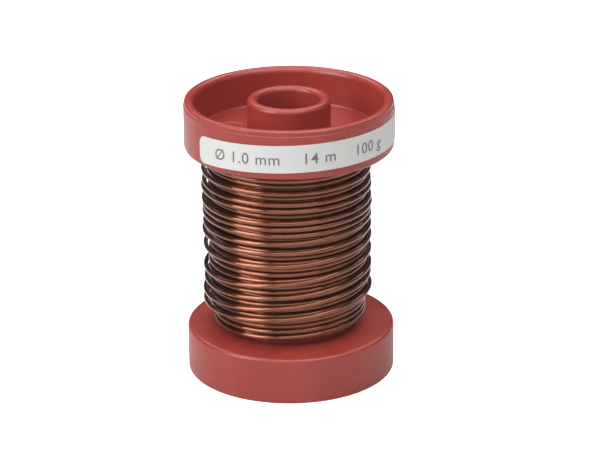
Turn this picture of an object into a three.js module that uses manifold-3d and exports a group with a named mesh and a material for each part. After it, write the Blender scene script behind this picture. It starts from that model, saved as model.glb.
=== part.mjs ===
// A small moulded spool of enamelled copper wire.
// Millimetres, +Z up. The spool's axis is Z and its lower flange stands on z = 0.
// Seen from the front (-Y), +X is to the right.

import * as THREE from 'three';
import { mergeVertices } from 'three/addons/utils/BufferGeometryUtils.js';
import Module from 'manifold-3d';

// ---- Driving dimensions ----

const overallHeight = 62.7;
const flangeDiameter = 46;
const lowerFlangeHeight = 10.4;
const upperFlangeHeight = 10.9;
const flangeWall = 2.4;
const cupDepth = 8.3;
const hubDiameter = 18.3;
const boreDiameter = 13.6;
const barrelDiameter = 28;
const barrelWall = 2;
const spigotLength = 6;
const spigotWall = 1.6;
const pressGap = 0.05;
const contactGap = 0.3;

const lipRounding = 0.8;
const lipFallWidth = 0.75;
const lipFallDrop = 0.45;
const baseEdgeRounding = 0.35;
const windingEdgeRounding = 0.9;
const innerEdgeRounding = 0.6;
const hubLipRounding = 1.05;

const wireDiameter = 1.08;
const windingRadius = 18.85;
const windingFootRadius = 17;
const windingFootHeight = 2.4;
const windingShift = -0.6;

const anchorRadius = 15.6;
const anchorAngle = THREE.MathUtils.degToRad(120);
const anchorHoleDiameter = 2;

const labelHeight = 6.1;
const labelCentreFromTop = 5.75;
const labelStart = THREE.MathUtils.degToRad(-145.5);
const labelEnd = THREE.MathUtils.degToRad(10);
const labelThickness = 0.15;
const labelCornerRadius = 1.7;
const labelDroop = 1.1;

const roundSegments = 48;
const arcSteps = 3;
const labelSegments = 44;
const wireSides = 8;

// ---- Sizes that follow from them ----

const flangeRadius = flangeDiameter / 2;
const cupRadius = flangeRadius - flangeWall;
const hubRadius = hubDiameter / 2;
const boreRadius = boreDiameter / 2;
const barrelRadius = barrelDiameter / 2;
const spigotRadius = barrelRadius - barrelWall - pressGap;
const wireRadius = wireDiameter / 2;
const windingBase = lowerFlangeHeight + contactGap;
const windingTop = overallHeight - upperFlangeHeight - contactGap;

const wasm = await Module();
wasm.setup();

// ---- Materials ----

function plastic(color) {
  return new THREE.MeshStandardMaterial({ color, roughness: 0.45, metalness: 0 });
}

const redPlastic = plastic('#a5453c');
const paper = new THREE.MeshStandardMaterial({ color: '#e4e3df', roughness: 0.8, metalness: 0 });
const enamelledCopper = new THREE.MeshStandardMaterial({
  color: '#8a4a2c',
  roughness: 0.3,
  metalness: 0.9,
});

// ---- Shape helpers ----

// Closed outline through corners [x, y, rounding], in order, with each rounding as an arc.
function roundedOutline(corners) {
  const points = [];
  corners.forEach(([x, y, rounding = 0], index) => {
    const corner = new THREE.Vector2(x, y);
    if (rounding === 0) {
      points.push(corner);
      return;
    }
    const previous = corners.at(index - 1);
    const next = corners[(index + 1) % corners.length];
    const toPrevious = new THREE.Vector2(previous[0] - x, previous[1] - y).normalize();
    const toNext = new THREE.Vector2(next[0] - x, next[1] - y).normalize();
    const halfAngle = Math.acos(toPrevious.dot(toNext)) / 2;
    const turn = Math.sign(toNext.cross(toPrevious)) * (Math.PI - 2 * halfAngle);
    const centre = toPrevious.clone().add(toNext).setLength(rounding / Math.sin(halfAngle));
    centre.add(corner);
    const arcStart = toPrevious.multiplyScalar(rounding / Math.tan(halfAngle)).add(corner);
    for (let step = 0; step <= arcSteps; step += 1) {
      points.push(arcStart.clone().rotateAround(centre, (turn * step) / arcSteps));
    }
  });
  points.push(points[0].clone());
  return points;
}

// A profile of [radius, height] points turned about Z.
function turned(profile) {
  return new THREE.LatheGeometry(profile, roundSegments).rotateX(Math.PI / 2);
}

function upright(radius, low, high) {
  const geometry = new THREE.CylinderGeometry(radius, radius, high - low, roundSegments);
  return geometry.rotateX(Math.PI / 2).translate(0, 0, (low + high) / 2);
}

// A round wire along a smooth curve through the points.
function wireAlong(points, steps) {
  const section = new THREE.Shape();
  for (let side = 0; side < wireSides; side += 1) {
    const angle = (2 * Math.PI * side) / wireSides;
    const place = [wireRadius * Math.cos(angle), wireRadius * Math.sin(angle)];
    if (side === 0) section.moveTo(...place);
    else section.lineTo(...place);
  }
  const extrudePath = new THREE.CatmullRomCurve3(points);
  return new THREE.ExtrudeGeometry(section, { steps, extrudePath, bevelEnabled: false });
}

function solid(geometry) {
  geometry.deleteAttribute('normal');
  geometry.deleteAttribute('uv');
  const merged = mergeVertices(geometry);
  return new wasm.Manifold(new wasm.Mesh({
    numProp: 3,
    vertProperties: Float32Array.from(merged.attributes.position.array),
    triVerts: Uint32Array.from(merged.index.array),
  }));
}

function geometryOf(body) {
  const { vertProperties, triVerts } = body.getMesh();
  const geometry = new THREE.BufferGeometry();
  geometry.setAttribute('position', new THREE.BufferAttribute(vertProperties, 3));
  geometry.setIndex(new THREE.BufferAttribute(triVerts, 1));
  geometry.computeVertexNormals();
  return geometry;
}

function piece(name, geometry, material) {
  const mesh = new THREE.Mesh(geometry, material);
  mesh.name = name;
  return mesh;
}

// A point beside the axis: radius, angle from +X, height.
function around(radius, angle, height) {
  return new THREE.Vector3(radius * Math.cos(angle), radius * Math.sin(angle), height);
}

// ---- Spool: two cupped flanges with hub and spigot, pressed into a barrel tube ----

// The flange as it stands at the bottom: cup and hub open downwards, spigot pointing up.
function flange(rim, height) {
  const spigotTop = height + spigotLength;
  const spigotBore = spigotRadius - spigotWall;
  return turned(roundedOutline([
    ...rim,
    [flangeRadius, height, windingEdgeRounding],
    [spigotRadius, height],
    [spigotRadius, spigotTop, innerEdgeRounding],
    [spigotBore, spigotTop, innerEdgeRounding],
    [spigotBore, height],
    [boreRadius, height, innerEdgeRounding],
    [boreRadius, 0, hubLipRounding],
    [hubRadius, 0, hubLipRounding],
    [hubRadius, cupDepth, innerEdgeRounding],
    [cupRadius, cupDepth, innerEdgeRounding],
  ]));
}

function lowerFlange() {
  const rim = [[cupRadius, 0, innerEdgeRounding], [flangeRadius, 0, baseEdgeRounding]];
  const hole = new THREE.CylinderGeometry(
    anchorHoleDiameter / 2, anchorHoleDiameter / 2, lowerFlangeHeight, wireSides * 2,
  );
  const place = around(anchorRadius, anchorAngle, lowerFlangeHeight);
  hole.rotateX(Math.PI / 2).translate(place.x, place.y, place.z);
  return geometryOf(solid(flange(rim, lowerFlangeHeight)).subtract(solid(hole)));
}

// The upper rim has a soft lip that falls off towards the outside.
function upperFlange() {
  const rim = [
    [cupRadius, 0, lipRounding],
    [flangeRadius - lipFallWidth, 0, baseEdgeRounding],
    [flangeRadius, lipFallDrop, baseEdgeRounding / 2],
  ];
  const mesh = piece('flange_upper', flange(rim, upperFlangeHeight), redPlastic);
  mesh.rotation.x = Math.PI;
  mesh.position.z = overallHeight;
  return mesh;
}

function barrelTube() {
  const low = lowerFlangeHeight + pressGap;
  const high = overallHeight - upperFlangeHeight - pressGap;
  const bore = barrelRadius - barrelWall;
  return turned(roundedOutline([
    [barrelRadius, low],
    [barrelRadius, high],
    [bore, high],
    [bore, low],
  ]));
}

// ---- Wire: the winding's outer shape, the inner end and the outer end ----

// The loose outer turns hang to one side of the barrel and stop short of the lower flange.
function winding() {
  const footTop = windingBase + windingFootHeight;
  const body = turned([
    new THREE.Vector2(0, windingBase),
    new THREE.Vector2(windingFootRadius, windingBase),
    new THREE.Vector2(windingRadius, footTop),
    new THREE.Vector2(windingRadius, windingTop),
    new THREE.Vector2(0, windingTop),
  ]).translate(windingShift, 0, 0);
  const core = upright(barrelRadius + contactGap, 0, overallHeight);
  return geometryOf(solid(body).subtract(solid(core)));
}

// The inner end drops through the anchor hole and lies bent over in the lower cup.
function startTail() {
  const lying = cupDepth - wireRadius - contactGap;
  const route = [
    around(anchorRadius, anchorAngle, lowerFlangeHeight),
    around(anchorRadius, anchorAngle, cupDepth + 1),
    around(anchorRadius, anchorAngle, cupDepth - 0.6),
    around(anchorRadius, anchorAngle + 0.06, lying - 0.8),
    around(anchorRadius, anchorAngle + 0.18, lying - 1),
    around(anchorRadius, anchorAngle + 0.34, lying - 0.6),
    around(anchorRadius, anchorAngle + 0.54, lying - 0.3),
    around(anchorRadius, anchorAngle + 0.76, lying - 0.2),
    around(anchorRadius, anchorAngle + 1, lying - 0.3),
  ];
  return wireAlong(route, 20);
}

// The outer end springs a little way off the last turn, at the back near the top.
function endTail() {
  const clear = windingRadius + wireRadius + contactGap;
  const lastTurn = windingTop - 1.9;
  const route = [
    around(clear - 0.15, 1.36, lastTurn - 0.3),
    around(clear + 0.2, 1.43, lastTurn - 0.45),
    around(clear + 0.6, 1.5, lastTurn - 0.6),
    around(clear + 1.1, 1.58, lastTurn - 0.8),
    around(clear + 1.6, 1.66, lastTurn - 1.05),
  ];
  return wireAlong(route, 8);
}

// ---- Label: a paper strip with rounded corners, stuck round the upper flange ----

// The strip is level at its right end, and droops more and more towards its left end.
function droopAt(angle) {
  return labelDroop * ((labelEnd - angle) / (labelEnd - labelStart)) ** 3;
}

function label() {
  const inner = flangeRadius + pressGap;
  const middle = (labelStart + labelEnd) / 2;
  const halfLength = ((labelEnd - labelStart) / 2) * flangeRadius;
  const centreHeight = overallHeight - labelCentreFromTop;
  const geometry = new THREE.BoxGeometry(2, 2, 2, labelSegments, 1, 1);
  const { position } = geometry.attributes;
  for (let index = 0; index < position.count; index += 1) {
    // Stations along the strip crowd towards its ends, where the corners are round.
    const along = halfLength * Math.sin((Math.PI / 2) * position.getX(index));
    const fromEnd = halfLength - Math.abs(along);
    const inCorner = Math.max(0, labelCornerRadius - fromEnd);
    const cut = labelCornerRadius - Math.sqrt(labelCornerRadius ** 2 - inCorner ** 2);
    const inward = (position.getY(index) + 1) / 2;
    const angle = middle + along / flangeRadius;
    const place = around(
      inner + labelThickness * (1 - inward),
      angle,
      centreHeight - droopAt(angle) + position.getZ(index) * (labelHeight / 2 - cut),
    );
    position.setXYZ(index, place.x, place.y, place.z);
  }
  geometry.computeVertexNormals();
  return geometry;
}

const spool = new THREE.Group();
spool.add(
  piece('flange_lower', lowerFlange(), redPlastic),
  upperFlange(),
  piece('barrel_tube', barrelTube(), redPlastic),
  piece('wire_winding', winding(), enamelledCopper),
  piece('wire_start_tail', startTail(), enamelledCopper),
  piece('wire_end_tail', endTail(), enamelledCopper),
  piece('label', label(), paper),
);

export default spool;
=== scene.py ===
"""Looks of a small red spool of enamelled copper wire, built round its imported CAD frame."""

import math
import random

import bmesh
import bpy
from mathutils import Matrix, Vector


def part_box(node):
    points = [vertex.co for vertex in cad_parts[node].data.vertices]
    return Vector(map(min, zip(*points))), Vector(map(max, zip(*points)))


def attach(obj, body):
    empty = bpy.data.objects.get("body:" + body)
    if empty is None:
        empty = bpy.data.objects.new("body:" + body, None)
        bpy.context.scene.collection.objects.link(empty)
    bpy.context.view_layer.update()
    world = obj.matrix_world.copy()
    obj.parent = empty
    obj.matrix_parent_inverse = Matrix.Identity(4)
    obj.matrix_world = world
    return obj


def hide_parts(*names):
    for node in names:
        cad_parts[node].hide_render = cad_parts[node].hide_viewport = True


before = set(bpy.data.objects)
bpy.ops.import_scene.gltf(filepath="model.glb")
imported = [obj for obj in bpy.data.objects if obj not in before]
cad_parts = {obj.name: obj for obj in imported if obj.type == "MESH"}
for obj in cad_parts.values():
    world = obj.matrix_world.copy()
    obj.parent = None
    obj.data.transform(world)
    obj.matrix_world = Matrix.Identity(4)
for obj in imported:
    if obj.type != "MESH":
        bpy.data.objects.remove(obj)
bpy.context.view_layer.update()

# ---- Sizes, in metres, from the frame and a few of the spool's own measures ----

MM = 0.001
SPOOL_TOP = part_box("flange_upper")[1]
BARREL_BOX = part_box("barrel_tube")
LABEL_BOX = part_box("label")

PRESS_GAP = 0.05 * MM
HEIGHT = SPOOL_TOP.z
FLANGE_RADIUS = SPOOL_TOP.x
LOWER_FLANGE_HEIGHT = BARREL_BOX[0].z - PRESS_GAP
UPPER_FLANGE_HEIGHT = HEIGHT - BARREL_BOX[1].z - PRESS_GAP
BARREL_RADIUS = BARREL_BOX[1].x
BARREL_WALL = 2 * MM
CUP_DEPTH = 8.3 * MM
FLANGE_WALL = 2.4 * MM
HUB_RADIUS = 9.15 * MM
BORE_RADIUS = 6.8 * MM
SPIGOT_WALL = 1.6 * MM
SPIGOT_LENGTH = 6 * MM

WIRE_DIAMETER = 1.08 * MM
WIRE_RADIUS = WIRE_DIAMETER / 2
ANCHOR_RADIUS = 15.6 * MM
ANCHOR_ANGLE = math.radians(120)
ANCHOR_HOLE_RADIUS = 1 * MM

FRONT = math.radians(-90)
BACK = math.radians(90)
LABEL_START = math.radians(-145.5)
LABEL_END = math.radians(10)


def around(radius, angle, height):
    """A point beside the axis, at an angle from +X."""
    return Vector((radius * math.cos(angle), radius * math.sin(angle), height))


def ease(share):
    """Smooth step from 0 to 1."""
    share = min(1.0, max(0.0, share))
    return share * share * (3 - 2 * share)


# ---- Camera ----

CAMERA_LENS = 167.5
CAMERA_DISTANCE = 0.6188
CAMERA_ELEVATION = math.radians(21.58)
CAMERA_ROLL = math.radians(-0.565)
CAMERA_AIM = Vector((0, 0, 29.55 * MM))
CAMERA_SHIFT = (0.0165, 0.016)


def make_camera():
    data = bpy.data.cameras.new("camera")
    data.lens = CAMERA_LENS
    data.shift_x, data.shift_y = CAMERA_SHIFT
    data.clip_start = 0.05
    camera = bpy.data.objects.new("camera", data)
    bpy.context.scene.collection.objects.link(camera)
    back = Vector((0, -math.cos(CAMERA_ELEVATION), math.sin(CAMERA_ELEVATION)))
    turn = back.to_track_quat("Z", "Y").to_matrix().to_4x4()
    place = Matrix.Translation(CAMERA_AIM + back * CAMERA_DISTANCE)
    camera.matrix_world = place @ turn @ Matrix.Rotation(CAMERA_ROLL, 4, "Z")
    bpy.context.scene.camera = camera


make_camera()


# ---- Materials ----

WIRE_UV = "along_and_around"


class Nodes:
    """Short calls for building one material's node tree."""

    def __init__(self, name):
        self.material = bpy.data.materials.new(name)
        self.material.use_nodes = True
        self.tree = self.material.node_tree
        self.shader = self.tree.nodes["Principled BSDF"]
        self.place = self.add("ShaderNodeTexCoord").outputs["Object"]

    def add(self, kind, **settings):
        node = self.tree.nodes.new(kind)
        for name, value in settings.items():
            setattr(node, name, value)
        return node

    def link(self, output, socket):
        self.tree.links.new(output, socket)

    def set(self, **values):
        for name, value in values.items():
            self.shader.inputs[name.replace("_", " ")].default_value = value

    def noise(self, scale, detail=2.0, stretch=None):
        node = self.add("ShaderNodeTexNoise")
        node.inputs["Scale"].default_value = scale
        node.inputs["Detail"].default_value = detail
        place = self.place
        if stretch:
            mapping = self.add("ShaderNodeMapping")
            mapping.inputs["Scale"].default_value = stretch
            self.link(place, mapping.inputs["Vector"])
            place = mapping.outputs["Vector"]
        self.link(place, node.inputs["Vector"])
        return node.outputs["Fac"]

    def remap(self, value, low, high, to_low, to_high):
        node = self.add("ShaderNodeMapRange")
        for name, number in zip(
            ("From Min", "From Max", "To Min", "To Max"), (low, high, to_low, to_high)
        ):
            node.inputs[name].default_value = number
        self.link(value, node.inputs["Value"])
        return node.outputs["Result"]

    def ramp(self, value, *stops):
        node = self.add("ShaderNodeValToRGB")
        elements = node.color_ramp.elements
        while len(elements) < len(stops):
            elements.new(0.5)
        for element, (position, color) in zip(elements, stops):
            element.position = position
            element.color = (*color, 1)
        self.link(value, node.inputs["Fac"])
        return node.outputs["Color"]

    def mix(self, share, first, second, blend="MIX"):
        node = self.add("ShaderNodeMix", data_type="RGBA", blend_type=blend)
        if isinstance(share, float):
            node.inputs[0].default_value = share
        else:
            self.link(share, node.inputs[0])
        for socket, value in ((node.inputs[6], first), (node.inputs[7], second)):
            if isinstance(value, tuple):
                socket.default_value = (*value, 1)
            else:
                self.link(value, socket)
        return node.outputs[2]

    def seen_by_camera(self, strength):
        """That strength to the camera, and nothing to the light that falls on the spool."""
        path = self.add("ShaderNodeLightPath")
        return self.remap(path.outputs["Is Camera Ray"], 0, 1, 0, strength)

    def bump(self, height, distance, strength=1.0, below=None):
        node = self.add("ShaderNodeBump")
        node.inputs["Distance"].default_value = distance
        node.inputs["Strength"].default_value = strength
        self.link(height, node.inputs["Height"])
        if below:
            self.link(below, node.inputs["Normal"])
        return node.outputs["Normal"]


def red_plastic():
    """Satin moulded plastic: slight flow marks, fine grain and a few rubbed, duller patches."""
    nodes = Nodes("red_plastic")
    flow = nodes.noise(90, 3.0, (1, 1, 0.35))
    color = nodes.ramp(flow, (0.3, (0.278, 0.0285, 0.02)), (0.7, (0.325, 0.0385, 0.0285)))
    dust = nodes.remap(nodes.noise(2600, 1.0), 0.72, 0.78, 0.0, 0.25)
    color = nodes.mix(dust, color, (0.46, 0.2, 0.17))
    nodes.link(color, nodes.shader.inputs["Base Color"])
    rubbed = nodes.remap(nodes.noise(220, 4.0), 0.35, 0.7, 0.27, 0.35)
    nodes.link(rubbed, nodes.shader.inputs["Roughness"])
    grain = nodes.bump(nodes.noise(5200, 2.0), 0.012 * MM, 0.5)
    waves = nodes.bump(nodes.noise(160, 1.0), 0.05 * MM, 0.35, grain)
    nodes.link(waves, nodes.shader.inputs["Normal"])
    nodes.set(IOR=1.5)
    return nodes.material


def enamelled_copper():
    """Drawn copper, with its lengthwise die lines, under smooth clear amber enamel."""
    nodes = Nodes("enamelled_copper")
    tone = nodes.noise(140, 3.0)
    color = nodes.ramp(tone, (0.3, (0.215, 0.05, 0.012)), (0.7, (0.275, 0.066, 0.016)))
    nodes.link(color, nodes.shader.inputs["Base Color"])
    nodes.link(nodes.remap(nodes.noise(900, 2.0), 0.3, 0.7, 0.31, 0.37),
               nodes.shader.inputs["Roughness"])
    nodes.place = nodes.add("ShaderNodeUVMap", uv_map=WIRE_UV).outputs["UV"]
    die_lines = nodes.noise(1, 2.0, (12, 34, 1))
    nodes.link(nodes.bump(die_lines, 0.006 * MM), nodes.shader.inputs["Normal"])
    along = nodes.add("ShaderNodeTangent", direction_type="UV_MAP", uv_map=WIRE_UV)
    nodes.link(along.outputs["Tangent"], nodes.shader.inputs["Tangent"])
    nodes.set(Metallic=1.0, Anisotropic=0.95, Anisotropic_Rotation=0.25,
              Coat_Weight=1.0, Coat_Roughness=0.04, Coat_IOR=1.6)
    return nodes.material


def label_paper():
    """Matt white label stock with paper fibres and slight yellowing."""
    nodes = Nodes("label_paper")
    fibres = nodes.noise(1800, 4.0, (1, 1, 2.5))
    color = nodes.ramp(fibres, (0.3, (0.56, 0.555, 0.54)), (0.7, (0.61, 0.605, 0.59)))
    nodes.link(color, nodes.shader.inputs["Base Color"])
    nodes.link(nodes.remap(fibres, 0.3, 0.7, 0.5, 0.62), nodes.shader.inputs["Roughness"])
    nodes.link(nodes.bump(fibres, 0.015 * MM, 0.5), nodes.shader.inputs["Normal"])
    return nodes.material


def grey_ink():
    """Grey print with the paper's fibres showing faintly through."""
    nodes = Nodes("grey_ink")
    fibres = nodes.noise(2600, 3.0)
    color = nodes.ramp(fibres, (0.3, (0.11, 0.11, 0.115)), (0.75, (0.2, 0.2, 0.205)))
    nodes.link(color, nodes.shader.inputs["Base Color"])
    nodes.set(Roughness=0.6)
    return nodes.material


def pale_floor():
    """Plain studio sweep: light grey to the spool, and all but burnt out to the camera."""
    nodes = Nodes("pale_floor")
    mottle = nodes.noise(6, 3.0)
    color = nodes.ramp(mottle, (0.3, (0.59, 0.59, 0.59)), (0.7, (0.62, 0.62, 0.62)))
    nodes.link(color, nodes.shader.inputs["Base Color"])
    nodes.link(nodes.seen_by_camera(0.85), nodes.shader.inputs["Emission Strength"])
    nodes.set(Roughness=0.9, Emission_Color=(1, 1, 1, 1))
    nodes.shader.inputs["Specular IOR Level"].default_value = 0.0
    return nodes.material


RED = red_plastic()
COPPER = enamelled_copper()
PAPER = label_paper()
INK = grey_ink()


# ---- Mesh helpers ----

def mesh_object(name, vertices, faces, material, sharp_over=50):
    mesh = bpy.data.meshes.new(name)
    mesh.from_pydata([tuple(v) for v in vertices], [], faces)
    mesh.validate()
    mesh.polygons.foreach_set("use_smooth", [True] * len(mesh.polygons))
    mesh.set_sharp_from_angle(angle=math.radians(sharp_over))
    mesh.materials.append(material)
    piece = bpy.data.objects.new(name, mesh)
    bpy.context.scene.collection.objects.link(piece)
    return piece


def rounded_outline(corners, arc_steps=9):
    """Closed outline through (radius, height, rounding) corners, with each rounding as an arc."""
    points = []
    for index, (x, y, rounding) in enumerate(corners):
        corner = Vector((x, y))
        if rounding == 0:
            points.append(corner)
            continue
        before = (Vector(corners[index - 1][:2]) - corner).normalized()
        after = (Vector(corners[(index + 1) % len(corners)][:2]) - corner).normalized()
        half = before.angle(after) / 2
        centre = corner + (before + after).normalized() * rounding / math.sin(half)
        start = corner + before * rounding / math.tan(half) - centre
        turn = math.copysign(math.pi - 2 * half, after.x * before.y - after.y * before.x)
        for step in range(arc_steps + 1):
            angle = turn * step / arc_steps
            points.append(centre + Matrix.Rotation(angle, 2) @ start)
    return points


def revolved(outline, segments=160):
    """Vertices and faces of a closed (radius, height) outline turned about Z."""
    count = len(outline)
    vertices = []
    for segment in range(segments):
        angle = 2 * math.pi * segment / segments
        vertices += [around(point.x, angle, point.y) for point in outline]
    faces = []
    for segment in range(segments):
        here, there = segment * count, (segment + 1) % segments * count
        for index in range(count):
            after = (index + 1) % count
            faces.append((here + index, there + index, there + after, here + after))
    return vertices, faces


def tube(path, radius, sides):
    """Vertices and faces of a round wire along the path, with domed ends."""
    vertices, faces = [], []
    side_way = None
    last = len(path) - 1
    for index, centre in enumerate(path):
        ahead = (path[min(index + 1, last)] - path[max(index - 1, 0)]).normalized()
        if side_way is None:
            side_way = ahead.orthogonal()
        side_way = (side_way - ahead * side_way.dot(ahead)).normalized()
        up_way = ahead.cross(side_way)
        for side in range(sides):
            angle = 2 * math.pi * side / sides
            vertices.append(
                centre + (side_way * math.cos(angle) + up_way * math.sin(angle)) * radius
            )
    for index in range(last):
        here, there = index * sides, (index + 1) * sides
        for side in range(sides):
            after = (side + 1) % sides
            faces.append((here + side, here + after, there + after, there + side))
    for index in (0, last):
        away = (path[index] - path[1 if index == 0 else last - 1]).normalized()
        vertices.append(path[index] + away * radius * 0.35)
        tip, base = len(vertices) - 1, index * sides
        for side in range(sides):
            pair = (base + side, base + (side + 1) % sides)
            faces.append((pair[1], pair[0], tip) if index == 0 else (*pair, tip))
    return vertices, faces


def smooth_path(points, spacing):
    """Points about a spacing apart on a Catmull-Rom curve through given points."""
    ends = [2 * points[0] - points[1], *points, 2 * points[-1] - points[-2]]
    path = [points[0]]
    for before, first, second, after in zip(ends, ends[1:], ends[2:], ends[3:]):
        steps = max(1, round((second - first).length / spacing))
        for step in range(1, steps + 1):
            t = step / steps
            path.append(0.5 * (
                2 * first + (second - before) * t
                + (2 * before - 5 * first + 4 * second - after) * t ** 2
                + (3 * first - before - 3 * second + after) * t ** 3
            ))
    return path


# ---- The wire: one length, from its end in the lower cup, through five layers, to its free end ----

WINDING_LOW = LOWER_FLANGE_HEIGHT + 2 * MM
FOOT_TOP = LOWER_FLANGE_HEIGHT + 6.5 * MM
WINDING_HIGH = HEIGHT - UPPER_FLANGE_HEIGHT - WIRE_RADIUS - 0.05 * MM
STEP_SHARE = 0.38
HIDDEN_STEPS = 28
VISIBLE_STEPS = 64
WIRE_SIDES = 12
FIRST_BEND = 2.4 * MM
FIRST_LAYER_RADIUS = 14.58 * MM
SECOND_LAYER_RADIUS = 15.4 * MM
THIRD_LAYER_RADIUS = 16.2 * MM

# The fourth layer and the outer one, in mm.
FOURTH_LAYER_TURNS = 29
FOURTH_LAYER_TOP = 50.95
FOURTH_LAYER_PITCH = 1.36
OUTER_LAYER_START = 17.9
OUTER_LAYER_RADIUS = 18.2

# The loose outer turns, from the lowest: the gap in mm up to the next one, and the tilt.
OUTER_TURNS = (
    (2.7, 0.08), (2.4, 0.1), (3.1, 0.08), (4.2, 0.1), (3.0, 0.05), (2.2, 0.02),
    (1.8, 0.04), (1.5, 0.01), (1.4, 0.01), (2.8, 0.01), (1.4, 0.0), (2.6, 0.0), (2.9, 0.0),
    (0, 0.0),
)


def even_turns(count, low, high, radius, shift):
    """Hidden turns at an even pitch: (height, radius, sideways shift, tilt, steps) each."""
    pitch = (high - low) / (count - 1)
    return [(low + pitch * i, radius, shift, 0.0, HIDDEN_STEPS) for i in range(count)]


def turn_plan(draw):
    """Every turn from the barrel outwards, as (height, radius, sideways shift, tilt, steps)."""
    lowest = LOWER_FLANGE_HEIGHT + FIRST_BEND - 0.3 * MM
    first = even_turns(35, lowest, WINDING_HIGH, FIRST_LAYER_RADIUS, 0)
    second = even_turns(35, WINDING_HIGH, WINDING_LOW, SECOND_LAYER_RADIUS, -0.05 * MM)
    third = even_turns(27, FOOT_TOP, WINDING_HIGH, THIRD_LAYER_RADIUS, -0.2 * MM)
    fourth = []
    for index in range(FOURTH_LAYER_TURNS):
        height = FOURTH_LAYER_TOP - FOURTH_LAYER_PITCH * index
        radius, shift = (17.05, -0.45) if height * MM > FOOT_TOP - 0.3 * MM else (16.3, -0.15)
        fourth.append((
            (height + draw.uniform(-0.07, 0.07)) * MM,
            (radius + draw.uniform(-0.08, 0.08)) * MM,
            (shift + draw.uniform(-0.08, 0.08)) * MM,
            0.05 * ease((40 - height) / 20) + draw.uniform(-0.006, 0.006),
            VISIBLE_STEPS,
        ))
    fifth = []
    height = OUTER_LAYER_START
    for gap, tilt in OUTER_TURNS:
        fifth.append((
            height * MM,
            (OUTER_LAYER_RADIUS + draw.uniform(-0.1, 0.1)) * MM,
            (-0.65 + draw.uniform(-0.12, 0.12)) * MM,
            tilt,
            VISIBLE_STEPS,
        ))
        height += gap
    return first + second + third + fourth + fifth


def winding_path():
    """The centreline of all the turns: flat loops, each stepping to the next at the back."""
    turns = turn_plan(random.Random(11))
    path = []
    for here, after in zip(turns, turns[1:] + [None]):
        steps = here[4]
        for step in range(steps if after else round(steps * (1 - STEP_SHARE))):
            share = step / steps
            blend = ease((share + STEP_SHARE - 1) / STEP_SHARE)
            height, radius, shift, tilt = (
                a + (b - a) * blend for a, b in zip(here[:4], after or here)
            )
            place = around(radius, BACK + 2 * math.pi * (share + STEP_SHARE / 2), height)
            place.x += shift
            place.z += tilt * place.x
            path.append(place)
    return path


def wire_path():
    lying = CUP_DEPTH - WIRE_RADIUS - 0.3 * MM
    inner_end = [
        around(ANCHOR_RADIUS, ANCHOR_ANGLE + turn, height)
        for turn, height in (
            (1.0, lying - 0.3 * MM),
            (0.76, lying - 0.2 * MM),
            (0.54, lying - 0.3 * MM),
            (0.34, lying - 0.6 * MM),
            (0.18, lying - 1.0 * MM),
            (0.06, lying - 0.8 * MM),
            (0.0, CUP_DEPTH - 0.6 * MM),
            (0.0, CUP_DEPTH + 1.0 * MM),
        )
    ]
    winding = winding_path()
    first_radius = winding[0].xy.length
    first_turn = math.atan2(winding[0].y, winding[0].x) - ANCHOR_ANGLE
    bend_turn = FIRST_BEND / ANCHOR_RADIUS

    def rising(turn, lift):
        inwards = (ANCHOR_RADIUS - first_radius) * ease(turn / first_turn)
        height = winding[0].z - FIRST_BEND * (1 - lift)
        return around(ANCHOR_RADIUS - inwards, ANCHOR_ANGLE + turn, height)

    quarter = [math.pi / 2 * step / 8 for step in range(9)]
    bend = [rising(bend_turn * (1 - math.cos(angle)), math.sin(angle)) for angle in quarter]
    level = [rising(bend_turn + (first_turn - bend_turn) * step / 6, 1) for step in range(1, 6)]
    below_flange = HEIGHT - UPPER_FLANGE_HEIGHT
    outer_end = [
        around(radius * MM, turn, below_flange - drop * MM)
        for radius, turn, drop in (
            (17.85, 0.9, 1.95),
            (18.25, 1.08, 2.15),
            (18.85, 1.23, 2.35),
            (19.54, 1.36, 2.5),
            (19.89, 1.43, 2.65),
            (20.29, 1.5, 2.8),
            (20.79, 1.58, 3.0),
            (21.29, 1.66, 3.25),
        )
    ]
    start = smooth_path(inner_end + bend + level, WIRE_RADIUS)
    end = smooth_path([winding[-1], *outer_end], WIRE_RADIUS)
    return start + winding + end[1:]


def add_wire_uv(mesh, path):
    """UVs that run in metres along the wire and once from 0 to 1 around it."""
    along = [0.0]
    for before, after in zip(path, path[1:]):
        along.append(along[-1] + (after - before).length)
    layer = mesh.uv_layers.new(name=WIRE_UV)
    for face in mesh.polygons:
        sides = [mesh.loops[loop].vertex_index % WIRE_SIDES for loop in face.loop_indices]
        wraps = max(sides) - min(sides) > 1
        for loop, side in zip(face.loop_indices, sides):
            ring = min(mesh.loops[loop].vertex_index // WIRE_SIDES, len(path) - 1)
            turn = 1.0 if wraps and side == 0 else side / WIRE_SIDES
            layer.data[loop].uv = (along[ring], turn)


def make_wire():
    path = wire_path()
    piece = mesh_object("copper_wire", *tube(path, WIRE_RADIUS, WIRE_SIDES), COPPER)
    add_wire_uv(piece.data, path)
    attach(piece, "root")
    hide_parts("wire_winding", "wire_start_tail", "wire_end_tail")


make_wire()


# ---- The moulded spool ----

def flange_outline(rim, height, winding_edge_rounding):
    """The flange as it stands at the bottom, with its cup open downwards."""
    spigot = BARREL_RADIUS - BARREL_WALL - PRESS_GAP
    spigot_top = height + SPIGOT_LENGTH
    return rounded_outline([
        *rim,
        (FLANGE_RADIUS, height, winding_edge_rounding),
        (spigot, height, 0),
        (spigot, spigot_top, 0.5 * MM),
        (spigot - SPIGOT_WALL, spigot_top, 0.5 * MM),
        (spigot - SPIGOT_WALL, height, 0),
        (BORE_RADIUS, height, 0.5 * MM),
        (BORE_RADIUS, 0, 1.05 * MM),
        (HUB_RADIUS, 0, 1.05 * MM),
        (HUB_RADIUS, CUP_DEPTH, 0.6 * MM),
        (FLANGE_RADIUS - FLANGE_WALL, CUP_DEPTH, 0.6 * MM),
    ])


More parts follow.
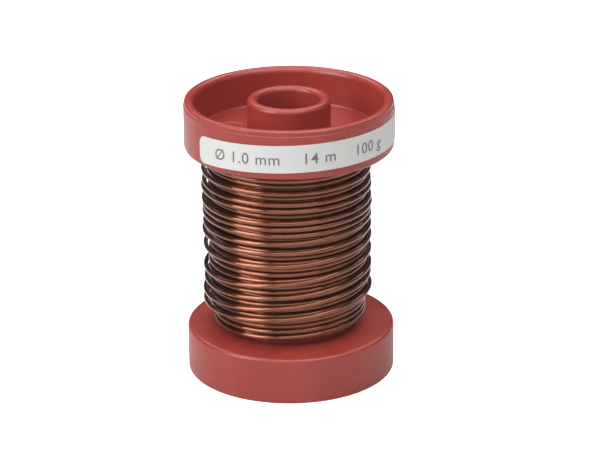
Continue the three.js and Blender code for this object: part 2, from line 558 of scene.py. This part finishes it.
def plain_rim():
    """The rim that the spool stands on: a flat lip with small roundings."""
    return [(FLANGE_RADIUS - FLANGE_WALL, 0, 0.6 * MM), (FLANGE_RADIUS, 0, 0.35 * MM)]


def crowned_rim():
    """A soft lip, and below it a fine step round the outside where the mould parted."""
    return [
        (FLANGE_RADIUS - FLANGE_WALL, 0, 1.3 * MM),
        (FLANGE_RADIUS - 0.65 * MM, 0, 0.6 * MM),
        (FLANGE_RADIUS - 0.22 * MM, 0.3 * MM, 0.3 * MM),
        (FLANGE_RADIUS - 0.15 * MM, 1.15 * MM, 0.03 * MM),
        (FLANGE_RADIUS, 1.24 * MM, 0.12 * MM),
    ]


def make_flange(name, node, rim, height, winding_edge_rounding, turned_over=False):
    vertices, faces = revolved(flange_outline(rim, height, winding_edge_rounding))
    if turned_over:
        vertices = [Vector((v.x, -v.y, HEIGHT - v.z)) for v in vertices]
    piece = mesh_object(name, vertices, faces, RED)
    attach(piece, "root")
    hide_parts(node)
    return piece


def cut(piece, tool):
    """Cut another object's shape out of the piece, and drop that object."""
    boolean = piece.modifiers.new("cut", "BOOLEAN")
    boolean.operation = "DIFFERENCE"
    boolean.solver = "EXACT"
    boolean.object = tool
    graph = bpy.context.evaluated_depsgraph_get()
    mesh = bpy.data.meshes.new_from_object(piece.evaluated_get(graph), depsgraph=graph)
    mesh.set_sharp_from_angle(angle=math.radians(14))
    piece.modifiers.remove(boolean)
    old = piece.data
    piece.data = mesh
    bpy.data.meshes.remove(old)
    bpy.data.objects.remove(tool)


def turned_post(outline, x, y, segments):
    """A closed solid of revolution standing at (x, y), from a rising (radius, height) outline."""
    vertices, faces = [], []
    for radius, height in outline:
        for segment in range(segments):
            angle = 2 * math.pi * segment / segments
            vertices.append(Vector((x, y, 0)) + around(radius, angle, height))
    for row in range(len(outline) - 1):
        here, there = row * segments, (row + 1) * segments
        for segment in range(segments):
            after = (segment + 1) % segments
            faces.append((here + segment, here + after, there + after, there + segment))
    faces.append(tuple(reversed(range(segments))))
    faces.append(tuple(range((len(outline) - 1) * segments, len(outline) * segments)))
    return mesh_object("tool", vertices, faces, RED)


def press_pin_marks(piece, floor, up):
    """The two shallow round marks that the mould's ejector pins leave in a cup's floor."""
    depth, slope, radius = 0.07 * MM, 0.2 * MM, 2.65 * MM
    for turn in (157, 337):
        place = around(13.7 * MM, math.radians(turn), 0)
        outline = [(radius - slope, floor - up * depth), (radius + slope, floor + up * depth)]
        cut(piece, turned_post(outline[::up], place.x, place.y, 48))


def drill_anchor_hole(piece):
    """The hole through the web that the wire's inner end comes out by."""
    place = around(ANCHOR_RADIUS, ANCHOR_ANGLE, 0)
    low, high, flare = CUP_DEPTH, LOWER_FLANGE_HEIGHT, 0.25 * MM
    outline = [
        (ANCHOR_HOLE_RADIUS + 2 * flare, low - flare), (ANCHOR_HOLE_RADIUS, low + flare),
        (ANCHOR_HOLE_RADIUS, high - flare), (ANCHOR_HOLE_RADIUS + 2 * flare, high + flare),
    ]
    cut(piece, turned_post(outline, place.x, place.y, 32))


def make_barrel():
    low, high = BARREL_BOX[0].z, BARREL_BOX[1].z
    inner = BARREL_RADIUS - BARREL_WALL
    edge = 0.3 * MM
    vertices, faces = revolved(rounded_outline([
        (BARREL_RADIUS, low, 0), (BARREL_RADIUS, high, 0), (inner, high, edge), (inner, low, edge),
    ], 3), 120)
    piece = mesh_object("barrel", vertices, faces, RED)
    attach(piece, "root")
    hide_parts("barrel_tube")


lower_flange = make_flange(
    "lower_flange", "flange_lower", plain_rim(), LOWER_FLANGE_HEIGHT, 0.85 * MM
)
upper_flange = make_flange(
    "upper_flange", "flange_upper", crowned_rim(), UPPER_FLANGE_HEIGHT, 0.8 * MM, turned_over=True
)
press_pin_marks(lower_flange, CUP_DEPTH, -1)
press_pin_marks(upper_flange, HEIGHT - CUP_DEPTH, 1)
drill_anchor_hole(lower_flange)
make_barrel()


# ---- Label ----

LABEL_THICKNESS = 0.15 * MM
LABEL_HEIGHT = 6.1 * MM
LABEL_CENTRE = LABEL_BOX[1].z - LABEL_HEIGHT / 2
LABEL_MIDDLE = (LABEL_START + LABEL_END) / 2
LABEL_SAG = 1.1 * MM
LABEL_CORNER = 1.7 * MM
PRINT_HEIGHT = 2.4 * MM
PRINT_THICKNESS = 0.03 * MM
PRINT_START = FRONT - math.radians(43)
PRINT_CUT = 0.3 * MM


def on_label(along, height, lift):
    """A point on the label: metres along its middle, height and lift off the flange.

    The strip is stuck on a little crooked: it droops more and more towards its left end.
    """
    turn = LABEL_MIDDLE + along / FLANGE_RADIUS
    droop = ((LABEL_END - turn) / (LABEL_END - LABEL_START)) ** 3 * LABEL_SAG
    return around(FLANGE_RADIUS + PRESS_GAP + lift, turn, height - droop)


def make_label():
    half_length = (LABEL_END - LABEL_START) / 2 * FLANGE_RADIUS
    stations, rows = 180, 4
    vertices, faces = [], []
    for station in range(stations + 1):
        along = half_length * math.sin(math.pi * (station / stations - 0.5))
        in_corner = max(0.0, LABEL_CORNER - (half_length - abs(along)))
        reach = LABEL_HEIGHT / 2 - LABEL_CORNER + math.sqrt(LABEL_CORNER ** 2 - in_corner ** 2)
        for lift in (0, LABEL_THICKNESS):
            for row in range(rows + 1):
                height = LABEL_CENTRE + reach * (2 * row / rows - 1)
                vertices.append(on_label(along, height, lift))
    ring = 2 * (rows + 1)
    order = [*range(rows + 1), *range(ring - 1, rows, -1)]
    for station in range(stations):
        for first, second in zip(order, order[1:] + order[:1]):
            here, there = station * ring, (station + 1) * ring
            faces.append((here + first, here + second, there + second, there + first))
    for row in range(rows):
        inner, outer = row, rows + 1 + row
        faces.append((inner, outer, outer + 1, inner + 1))
        end = stations * ring
        faces.append((end + inner, end + inner + 1, end + outer + 1, end + outer))
    piece = mesh_object("label_strip", vertices, faces, PAPER)
    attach(piece, "root")
    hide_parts("label")


def make_print():
    """Plain grey sizes printed on the label: the wire's diameter, length and weight."""
    text = bpy.data.curves.new("sizes", "FONT")
    text.body = "\u00d8 1.0 mm    14 m    100 g"
    text.size = PRINT_HEIGHT / 0.69
    text.space_character = 1.08
    text.offset = 0.012 * MM
    text.extrude = PRINT_THICKNESS / 2
    text.resolution_u = 4
    flat = bpy.data.objects.new("sizes", text)
    bpy.context.scene.collection.objects.link(flat)
    graph = bpy.context.evaluated_depsgraph_get()
    mesh = bpy.data.meshes.new_from_object(flat.evaluated_get(graph), depsgraph=graph)
    bpy.data.objects.remove(flat)
    bpy.data.curves.remove(text)

    letters = bmesh.new()
    letters.from_mesh(mesh)
    bmesh.ops.remove_doubles(letters, verts=letters.verts, dist=0.0005 * MM)
    width = max(v.co.x for v in letters.verts)
    for cut_index in range(1, round(width / PRINT_CUT)):
        bmesh.ops.bisect_plane(
            letters, geom=[*letters.verts, *letters.edges, *letters.faces], dist=1e-7,
            plane_co=(cut_index * PRINT_CUT, 0, 0), plane_no=(1, 0, 0),
        )
    start = (PRINT_START - LABEL_MIDDLE) * FLANGE_RADIUS
    for vertex in letters.verts:
        along, up, out = vertex.co
        lift = LABEL_THICKNESS + PRINT_THICKNESS / 2 + out
        vertex.co = on_label(start + along, LABEL_CENTRE + up - PRINT_HEIGHT / 2, lift)
    letters.to_mesh(mesh)
    letters.free()
    mesh.materials.clear()
    mesh.materials.append(INK)
    piece = bpy.data.objects.new("label_print", mesh)
    bpy.context.scene.collection.objects.link(piece)
    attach(piece, "root")


make_label()
make_print()


# ---- Studio ----

VEIL = 0.0065


def area_light(name, place, aim, size, power):
    """A rectangular light turned to its aim."""
    data = bpy.data.lights.new(name, "AREA")
    data.shape = "RECTANGLE"
    data.size, data.size_y = size
    data.energy = power
    light = bpy.data.objects.new(name, data)
    bpy.context.scene.collection.objects.link(light)
    light.location = place
    light.rotation_mode = "QUATERNION"
    light.rotation_quaternion = (Vector(place) - Vector(aim)).to_track_quat("Z", "Y")


def from_spool(distance, azimuth, elevation):
    """A place at that distance; azimuth 0 is the camera's side and +90 is to its right."""
    a, e = math.radians(azimuth), math.radians(elevation)
    return Vector((math.sin(a) * math.cos(e), -math.cos(a) * math.cos(e), math.sin(e))) * distance


def make_studio():
    middle = (0, 0, HEIGHT / 2)
    area_light("softbox", from_spool(2.0, -59, 32), middle, (1.25, 1.3), 31.5)
    area_light("front_fill", from_spool(2.2, 5, 25), middle, (3.2, 1.4), 9)
    area_light("right_fill", from_spool(2.2, 75, 35), middle, (1.6, 1.6), 4)
    area_light("front_strip", from_spool(2.2, 14, 58), middle, (2.0, 0.7), 18)
    area_light("top_strip", from_spool(2.2, 0, 88), middle, (3.0, 0.7), 36)
    area_light("back_panel", from_spool(2.2, 180, 50), middle, (2.8, 0.75), 24)
    half = 6.0
    floor = mesh_object(
        "floor", [(-half, -half, 0), (half, -half, 0), (half, half, 0), (-half, half, 0)],
        [(0, 1, 2, 3)], pale_floor(),
    )
    world = bpy.data.worlds.new("studio")
    world.use_nodes = True
    world.node_tree.nodes["Background"].inputs["Color"].default_value = (0.9, 0.95, 1, 1)
    world.node_tree.nodes["Background"].inputs["Strength"].default_value = 0.03
    bpy.context.scene.world = world


def set_tone():
    """Plain tones, with the slight veil that a white surround throws over a lens."""
    view = bpy.context.scene.view_settings
    view.view_transform = "Standard"
    view.use_curve_mapping = True
    view.curve_mapping.black_level = (-VEIL, -VEIL, -VEIL)
    view.curve_mapping.update()


make_studio()
set_tone()
